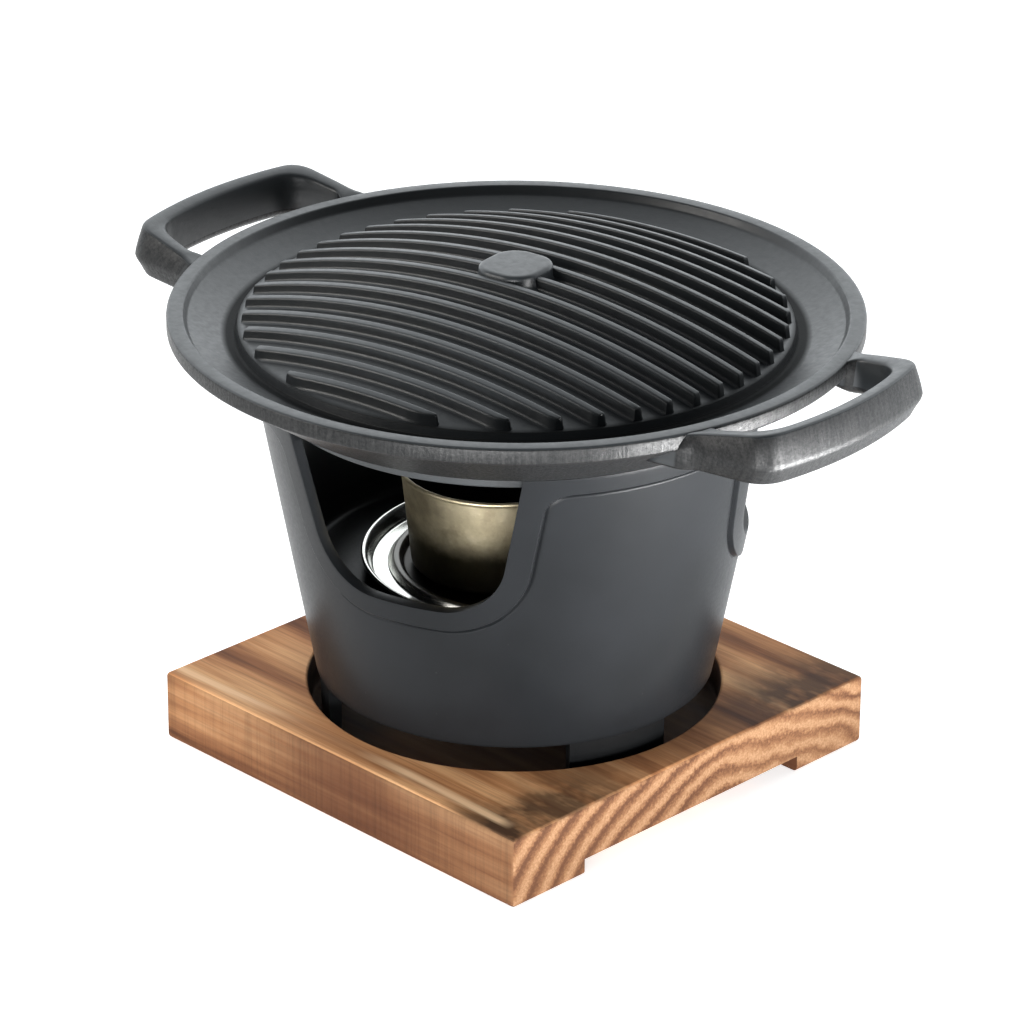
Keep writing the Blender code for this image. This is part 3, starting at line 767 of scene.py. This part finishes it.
def foot_shape(angle):
    """A short arc wall whose lower edge is rounded; it runs up into the shell."""
    foot_bottom = STOVE_LOW.z
    section = rounded([(FOOT_RADIUS - FOOT_WALL, SHELL_BOTTOM + 2 * MM, 0),
                       (FOOT_RADIUS - FOOT_WALL, foot_bottom, 0.7 * MM),
                       (FOOT_RADIUS, foot_bottom, 0.7 * MM),
                       (FOOT_RADIUS + 0.4 * MM, SHELL_BOTTOM + 2 * MM, 0)])
    rings = []
    count = 20
    for i in range(count + 1):
        a = angle + FOOT_SPAN * (i / count - 0.5)
        rings.append([Vector((r * math.cos(a), r * math.sin(a), z)) for r, z in section])
    return loft(rings)


def floor_section():
    """Inner floor with a fillet up the wall and a stiff edge; it runs into the wall."""
    radius = shell_radius(INNER_FLOOR) - SHELL_WALL
    below = INNER_FLOOR - FLOOR_THICKNESS
    into = 1.2 * MM
    return ([(0, INNER_FLOOR)]
            + rounded([(radius - 6 * MM, INNER_FLOOR, 0), (radius, INNER_FLOOR, 2.5 * MM),
                       (radius + 0.9 * MM, INNER_FLOOR + 5 * MM, 0)])
            + [(radius + into + 1.2 * MM, INNER_FLOOR + 5 * MM), (radius + into, below - 3 * MM)]
            + rounded([(radius - 0.6 * MM, below - 3 * MM, 0), (radius - 1.2 * MM, below, 2.5 * MM),
                       (radius - 8 * MM, below, 0)])
            + [(0, below)])


def stove_piece():
    wall = join_parts("stove_wall", shell_wall())
    tidy_mesh(wall)
    bevel = wall.modifiers.new("cast_edges", "BEVEL")
    bevel.width = 0.75 * MM
    bevel.segments = 3
    bevel.limit_method = "ANGLE"
    bevel.angle_limit = math.radians(50)
    apply_modifiers(wall)
    extras = [lathe(floor_section(), steps=192)]
    for i in range(WINDOW_COUNT):
        extras.append(foot_shape(FIRST_WINDOW + TURN * (i + 0.5) / WINDOW_COUNT))
    inside = join_parts("stove_floor_and_feet", extras)
    tidy_mesh(inside)
    return merge_objects("stove_casting", [wall, inside], 40)


def merge_objects(name, objects, angle):
    """Join finished objects' meshes into one piece."""
    shape = bmesh.new()
    for obj in objects:
        shape.from_mesh(obj.data)
    mesh = bpy.data.meshes.new(name)
    shape.to_mesh(mesh)
    shape.free()
    for obj in objects:
        bpy.data.objects.remove(obj)
    piece = bpy.data.objects.new(name, mesh)
    bpy.context.scene.collection.objects.link(piece)
    smooth(piece, angle)
    return piece


# ---------------------------------------------------------------- tray and cup

def centre_of(node_low, node_high):
    return ((node_low.x + node_high.x) / 2, (node_low.y + node_high.y) / 2)


def tray_piece():
    """Pressed dish: rolled rim, sloping wall, trough, raised bead and flat middle."""
    sheet = 0.8 * MM
    floor = TRAY_LOW.z
    rim_radius = (TRAY_HIGH.x - TRAY_LOW.x) / 2
    top = TRAY_HIGH.z
    upper = rounded([(x * MM, floor + sheet + h * MM, r * MM) for x, h, r in
                     ((0, 0, 0), (36.8, 0, 1.0), (38.0, 2.3, 0.9), (39.8, 2.3, 0.9), (41.2, 0, 1.0),
                      (46.0, 0, 1.0), (47.2, 3.1, 0.8))], segments=5)
    upper.append((47.9 * MM, top - 0.35 * MM))
    bead = 0.62 * MM
    centre = (rim_radius - bead, top - bead)
    roll = []
    for i in range(13):
        a = math.radians(130 - 230 * i / 12)
        roll.append((centre[0] + bead * math.cos(a), centre[1] + bead * math.sin(a)))
    lower = rounded([(x * MM, floor + h * MM, r * MM) for x, h, r in
                     ((48.0, 2.9, 0), (45.9, 0, 1.4), (41.5, 0, 1.0), (40.3, 1.5, 0.6), (38.5, 1.5, 0.6),
                      (37.5, 0, 1.0), (0, 0, 0))], segments=4)
    middle = centre_of(TRAY_LOW, TRAY_HIGH)
    tray = join_parts("burner_tray_dish", [lathe(upper + roll + lower, 192, middle)])
    tidy_mesh(tray)
    smooth(tray, 50)
    return tray


def cup_piece():
    """Tapered drawn cup with a curled rim and an eased heel."""
    floor = CUP_LOW.z
    top = CUP_HIGH.z
    curl = 0.7 * MM
    outer_top = (CUP_HIGH.x - CUP_LOW.x) / 2 - curl
    outer_low = outer_top - 3.1 * MM
    wall = 0.8 * MM
    inside = rounded([(0, floor + 1.2 * MM, 0), (outer_low - wall, floor + 1.2 * MM, 2.0 * MM),
                      (outer_top - wall, top - curl, 0)], segments=6)
    roll = []
    centre = (outer_top, top - curl)
    for i in range(11):
        a = math.radians(150 - 250 * i / 10)
        roll.append((centre[0] + curl * math.cos(a), centre[1] + curl * math.sin(a)))
    outside = rounded([(outer_top, top - 2.0 * curl, 0),
                       (outer_top - 0.1 * MM, top - 2.6 * curl, 0.3 * MM),
                       (outer_low + 0.1 * MM, floor + 1.5 * MM, 1.2 * MM),
                       (outer_low - 1.4 * MM, floor, 1.0 * MM), (outer_low - 4 * MM, floor, 0.5 * MM),
                       (outer_low - 5 * MM, floor + 0.5 * MM, 0.5 * MM),
                       (0, floor + 0.5 * MM, 0)], segments=4)
    cup = join_parts("fuel_cup_can", [lathe(inside + roll + outside, 160, centre_of(CUP_LOW, CUP_HIGH))])
    tidy_mesh(cup)
    smooth(cup, 50)
    return cup


# ---------------------------------------------------------------- grill pan

def dome_height(radius):
    return DOME_EDGE + DOME_RISE * (1 - (radius / DOME_RADIUS) ** 2)


def pan_section():
    """Section of the turned part: dome, disc edge, gutter, rim, underside and spigot."""
    top = [(r * MM, dome_height(r * MM)) for r in range(0, 78, 3)]
    corners = [(77 * MM, dome_height(77 * MM), 0), (79.9 * MM, 135.05 * MM, 0.5 * MM),
               (80.5 * MM, 131.75 * MM, 1.2 * MM), (84 * MM, 132.7 * MM, 0),
               (88 * MM, 134.2 * MM, 3 * MM),
               (94.0 * MM, 136.6 * MM, 1.6 * MM), (95.3 * MM, 139.15 * MM, 0.8 * MM),
               (97.5 * MM, RIM_TOP, 0), (RIM_RADIUS, RIM_TOP - 0.05 * MM, 0.9 * MM),
               (RIM_RADIUS, 134.6 * MM, 0.9 * MM), (97.6 * MM, 133.3 * MM, 2 * MM),
               (SEAT_RADIUS, SEAT, 1.2 * MM), (SPIGOT_RADIUS, SEAT, 0.4 * MM),
               (SPIGOT_RADIUS, SEAT - SPIGOT_DEPTH, 0.6 * MM),
               (SPIGOT_RADIUS - 3 * MM, SEAT - SPIGOT_DEPTH, 0.6 * MM),
               (SPIGOT_RADIUS - 4.5 * MM, dome_height(65 * MM) - PAN_WALL - 3 * MM, 2.5 * MM),
               (62 * MM, dome_height(62 * MM) - PAN_WALL, 0)]
    under = [(r * MM, dome_height(r * MM) - PAN_WALL) for r in range(58, -1, -4) if r > 0]
    return top + rounded(corners, segments=5) + under + [(0, dome_height(0) - PAN_WALL)]


RIB_SECTION = [(2.6, -0.6), (2.1, 0.0), (1.75, 0.10), (1.5, 0.35), (1.4, 0.8), (1.24, 2.5),
               (1.20, 2.82), (1.08, 3.04), (0.86, 3.17), (0.5, 3.2)]


def rib_shape(offset):
    """One rib: rounded top and filleted foot, following the dome out to the disc's edge."""
    angle = math.radians(-45) - RIB_TURN
    middle = RIB_SHIFT * math.cos(angle)
    half = math.sqrt(RIB_REACH ** 2 - (offset - RIB_SHIFT * math.sin(angle)) ** 2)
    steps = [RIB_END * t for t in (0, 0.06, 0.2, 0.4, 0.65, 0.85, 1.0)]
    inner = half - RIB_END
    count = max(4, int(2 * inner / (3 * MM)))
    stations = [d - half for d in steps]
    stations += [-inner + 2 * inner * i / count for i in range(1, count)]
    stations += [half - d for d in reversed(steps)]
    section = RIB_SECTION + [(-v, h) for v, h in reversed(RIB_SECTION)]
    rings = []
    for x in stations:
        share = min((half - abs(x)) / RIB_END, 1.0)
        height = 1 - (1 - share) ** 2.2
        taller = 1 + RIB_GROWTH * (x + middle) / MM
        ring = []
        for v, h in section:
            across = offset + v * MM * (0.80 + 0.20 * height)
            lift = h * MM * height * taller if h > 0 else h * MM
            spot = Vector((x + middle, across))
            if spot.length > RIB_LIMIT:
                spot *= RIB_LIMIT / spot.length
            ring.append(Vector((spot.x, spot.y, dome_height(spot.length) + lift)))
        rings.append(ring)
    return loft(rings)


def boss_shape():
    """Low button with soft corners, a rounded top edge and a fillet at its foot."""
    half_x = 9.6 * MM
    half_y = 10.3 * MM
    corner = 7.6 * MM
    floor = dome_height(0)
    levels = [(1.6, floor - 1.5 * MM), (1.25, floor - 0.1 * MM), (0.65, floor + 0.25 * MM),
              (0.25, floor + 0.8 * MM), (0.0, floor + 1.8 * MM), (-0.15, BOSS_TOP - 1.1 * MM),
              (-0.3, BOSS_TOP - 0.6 * MM), (-0.65, BOSS_TOP - 0.22 * MM), (-1.2, BOSS_TOP - 0.04 * MM),
              (-1.9, BOSS_TOP), (-5.0, BOSS_TOP)]
    rings = []
    for grow, z in levels:
        radius = max(corner + grow * MM, 0.4 * MM)
        ring = []
        for quarter, (sx, sy) in enumerate(((1, 1), (-1, 1), (-1, -1), (1, -1))):
            for i in range(13):
                a = math.pi / 2 * (quarter + i / 12)
                ring.append(Vector((sx * (half_x - corner) + radius * math.cos(a),
                                    BOSS_SHIFT + sy * (half_y - corner) + radius * math.sin(a), z)))
        rings.append(ring)
    return loft(rings)


def handle_curve(outer, root_half, tip_half, shoulder, flare):
    """Plan of one edge of the handle, from the +Y root round the bar to the -Y root."""
    root = Vector((89 * MM, root_half))
    tip = Vector((math.sqrt(outer ** 2 - tip_half ** 2), tip_half))
    arm = (root - tip).normalized()
    start = tip + arm * shoulder
    root += arm * HANDLE_BURIED
    end_angle = math.asin(tip_half / outer) - shoulder / outer
    end = Vector((outer * math.cos(end_angle), outer * math.sin(end_angle)))
    half = []
    arm_count = 16
    for i in range(arm_count):
        half.append(root.lerp(start, i / arm_count))
    corner_count = 12
    for i in range(corner_count):
        t = i / corner_count
        half.append(start * (1 - t) ** 2 + tip * 2 * t * (1 - t) + end * t ** 2)
    bar_count = 12
    for i in range(bar_count + 1):
        a = end_angle * (1 - i / bar_count)
        half.append(Vector((outer * math.cos(a), outer * math.sin(a))))
    for point in half[:arm_count]:
        gap = max(0.0, 1 - max(0.0, point.length - RIM_RADIUS) / (4.5 * MM))
        point.y += flare * gap * gap
    return half + [Vector((p.x, -p.y)) for p in reversed(half[:-1])]


def handle_top(radius):
    slope = (HANDLE_TOP - RIM_TOP) / (HANDLE_TOP_RADIUS - RIM_RADIUS)
    if radius < RIM_RADIUS - 1 * MM:
        return RIM_TOP - 0.35 * MM - (RIM_RADIUS - 1 * MM - radius) * 0.6
    return min(RIM_TOP + 0.1 * MM + (radius - RIM_RADIUS) * slope, HANDLE_TOP)


def handle_shape(number):
    """Bow handle: a loft of its section along the arms and the bar."""
    top_out = handle_curve(HANDLE_TOP_RADIUS, 37.6 * MM, 34.9 * MM, 6.0 * MM, 1.0 * MM)
    waist = handle_curve(124.15 * MM, 39.0 * MM, 37.0 * MM, 6.5 * MM, 1.6 * MM)
    low_out = handle_curve(122.0 * MM, 38.4 * MM, 35.6 * MM, 7.0 * MM, 2.6 * MM)
    top_in = handle_curve(117.2 * MM, 33.2 * MM, 29.6 * MM, 8.0 * MM, -3.0 * MM)
    low_in = handle_curve(116.6 * MM, 32.8 * MM, 29.0 * MM, 8.0 * MM, -3.0 * MM)
    rings = []
    for out, wide, low_o, inn, low_i in zip(top_out, waist, low_out, top_in, low_in):
        z_out = handle_top(out.length)
        z_in = handle_top(inn.length)
        outwards = min(1.0, max(0.0, (out.length - 92 * MM) / (25 * MM)))
        bottom = HANDLE_BOTTOM - 0.6 * MM + 0.6 * MM * outwards

        def top_point(share, drop):
            spot = inn.lerp(out, share)
            return (spot.x, spot.y, z_in + (z_out - z_in) * share - drop * MM)

        def low_point(share, rise):
            spot = low_i.lerp(low_o, share)
            return (spot.x, spot.y, bottom + rise * MM)

        def side_point(first, second, share, z):
            spot = first.lerp(second, share)
            return (spot.x, spot.y, z)

        middle = (z_in + bottom) / 2
        widest = min(HANDLE_WAIST, z_out - 2.4 * MM)
        ring = [low_point(0.0, 3.2), side_point(low_i, inn, 0.5, middle + 0.8 * MM),
                top_point(0.0, 0.9), top_point(0.03, 0.45), top_point(0.10, 0.15), top_point(0.22, 0.0),
                top_point(0.5, -0.05), top_point(0.78, 0.0), top_point(0.90, 0.15), top_point(0.97, 0.45),
                side_point(out, wide, 0.05, z_out - 0.9 * MM),
                side_point(out, wide, 0.55, (z_out + widest) / 2),
                side_point(out, wide, 0.93, widest + (z_out - widest) * 0.13),
                side_point(out, wide, 1.0, widest),
                side_point(wide, low_o, 0.12, widest + (bottom - widest) * 0.17),
                side_point(wide, low_o, 0.60, widest + (bottom - widest) * 0.49),
                low_point(1.0, 1.2), low_point(0.95, 0.5), low_point(0.85, 0.15), low_point(0.7, 0.0),
                low_point(0.35, 0.5), low_point(0.10, 1.8)]
        rings.append([Vector(p) for p in ring])
    return place(loft(rings), Matrix.Rotation(PAN_TURN + math.pi * number, 4, "Z"))


def pan_piece():
    body = join_parts("pan_body", [lathe(pan_section(), steps=288)])
    tidy_mesh(body)
    rib_turn = Matrix.Rotation(RIB_TURN, 4, "Z")
    details = []
    reach = int(RIB_REACH / RIB_PITCH) + 1
    for k in range(-reach, reach + 1):
        offset = RIB_FIRST + k * RIB_PITCH
        if abs(offset) < RIB_REACH - 2 * MM:
            details.append(place(rib_shape(offset), rib_turn))
    details.append(place(boss_shape(), rib_turn))
    details += [handle_shape(number) for number in range(2)]
    relief_parts = join_parts("pan_details", details)
    tidy_mesh(relief_parts, 0.000002)
    return merge_objects("grill_pan_casting", [body, relief_parts], 45)


# ---------------------------------------------------------------- stage

def make_floor():
    corners = [(x * FLOOR_HALF, y * FLOOR_HALF, 0) for x, y in ((-1, -1), (1, -1), (1, 1), (-1, 1))]
    floor = mesh_object("floor", corners, [(0, 1, 2, 3)])
    n = Nodes("pale_floor")
    shade = n.ramp(n.noise(3, detail=1), [(0.3, 0.86), (0.7, 0.88)])
    n.shader.inputs["Emission Color"].default_value = (1, 1, 1, 1)
    n.shader.inputs["Emission Strength"].default_value = FLOOR_GLOW
    floor.data.materials.append(n.set(colour=shade, roughness=0.6, specular=0.2))


def area_light(name, place_at, target, size, power, colour=(1, 1, 1)):
    data = bpy.data.lights.new(name, "AREA")
    data.shape = "RECTANGLE"
    data.size, data.size_y = size
    data.energy = power
    data.color = colour
    light = bpy.data.objects.new(name, data)
    light.location = place_at
    light.rotation_euler = (Vector(target) - Vector(place_at)).to_track_quat("-Z", "Y").to_euler()
    bpy.context.scene.collection.objects.link(light)


def from_view(right, away, up):
    """A point given in the camera's ground axes: to the right, away from it, and up."""
    turn = VIEW_AZIMUTH
    x = right * math.cos(turn) - away * math.sin(turn)
    y = right * math.sin(turn) + away * math.cos(turn)
    return (x, y, up)


def make_world():
    """A bright white sweep behind, a dim room in front, and little light from overhead."""
    world = bpy.data.worlds.new("studio")
    world.use_nodes = True
    tree = world.node_tree
    direction = tree.nodes.new("ShaderNodeTexCoord").outputs["Generated"]
    away = tree.nodes.new("ShaderNodeVectorMath")
    away.operation = "DOT_PRODUCT"
    away.inputs[1].default_value = (-math.sin(VIEW_AZIMUTH), math.cos(VIEW_AZIMUTH), 0)
    tree.links.new(direction, away.inputs[0])
    split = tree.nodes.new("ShaderNodeSeparateXYZ")
    tree.links.new(direction, split.inputs[0])
    parts = []
    fade_low, fade_high, faded = SWEEP_TOP
    for source, low, high, first, last in ((away.outputs["Value"], -0.15, 0.65, 0.0, 1.0),
                                           (split.outputs[2], fade_low, fade_high, 1.0, faded)):
        ramp = tree.nodes.new("ShaderNodeMapRange")
        ramp.interpolation_type = "SMOOTHSTEP"
        tree.links.new(source, ramp.inputs["Value"])
        for name, value in (("From Min", low), ("From Max", high), ("To Min", first), ("To Max", last)):
            ramp.inputs[name].default_value = value
        parts.append(ramp.outputs["Result"])
    both = tree.nodes.new("ShaderNodeMath")
    both.operation = "MULTIPLY"
    tree.links.new(parts[0], both.inputs[0])
    tree.links.new(parts[1], both.inputs[1])
    strength = tree.nodes.new("ShaderNodeMath")
    strength.operation = "MULTIPLY_ADD"
    tree.links.new(both.outputs[0], strength.inputs[0])
    strength.inputs[1].default_value = SWEEP_LIGHT
    strength.inputs[2].default_value = ROOM_LIGHT
    background = tree.nodes["Background"]
    background.inputs["Color"].default_value = (0.925, 0.97, 1.0, 1.0)
    tree.links.new(strength.outputs[0], background.inputs["Strength"])
    bpy.context.scene.world = world


def make_lights():
    middle = (0, 0, 0.09)
    area_light("key_right", from_view(0.76, -0.62, 0.10), middle, (0.16, 0.19), 8.5)
    area_light("low_front", from_view(-0.16, -0.85, 0.085), middle, (0.50, 0.13), 9)
    area_light("soft_left", from_view(-0.95, -0.25, 0.50), middle, (0.5, 0.5), 5.5, (1.0, 0.97, 0.93))
    table = from_view(0.355, -0.23, 0.004)
    area_light("table_shine", table, (table[0], table[1], 1.0), (0.26, 0.26), 18)
    make_world()


def make_camera():
    """The view from the -Y, +X side, a little from above."""
    level = math.cos(VIEW_ELEVATION)
    back = Vector((math.sin(VIEW_AZIMUTH) * level, -math.cos(VIEW_AZIMUTH) * level,
                   math.sin(VIEW_ELEVATION)))
    data = bpy.data.cameras.new("camera")
    data.sensor_width = 36
    data.lens = LENS_LENGTH
    data.clip_start = 0.05
    camera = bpy.data.objects.new("camera", data)
    camera.location = Vector(VIEW_TARGET) + back * VIEW_DISTANCE
    roll = Euler((0, 0, VIEW_ROLL)).to_matrix()
    camera.rotation_euler = ((-back).to_track_quat("-Z", "Y").to_matrix() @ roll).to_euler()
    bpy.context.scene.collection.objects.link(camera)
    bpy.context.scene.camera = camera


# ---------------------------------------------------------------- assembly

def settle(piece, node, body, material):
    """Let a finished piece stand for its node, move with its body and carry its finish."""
    piece.data.materials.clear()
    piece.data.materials.append(material)
    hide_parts(node)
    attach(piece, body)


def main():
    settle(wood_base_piece(), "wood_base", "base", wood_material())
    settle(stove_piece(), "stove_body", "stove", coated_material())
    settle(tray_piece(), "burner_tray", "tray", steel_material())
    settle(cup_piece(), "fuel_cup", "cup", champagne_material())
    settle(pan_piece(), "grill_pan", "pan", nonstick_material())
    make_floor()
    make_lights()
    make_camera()
    bpy.context.scene.view_settings.view_transform = "Standard"


main()
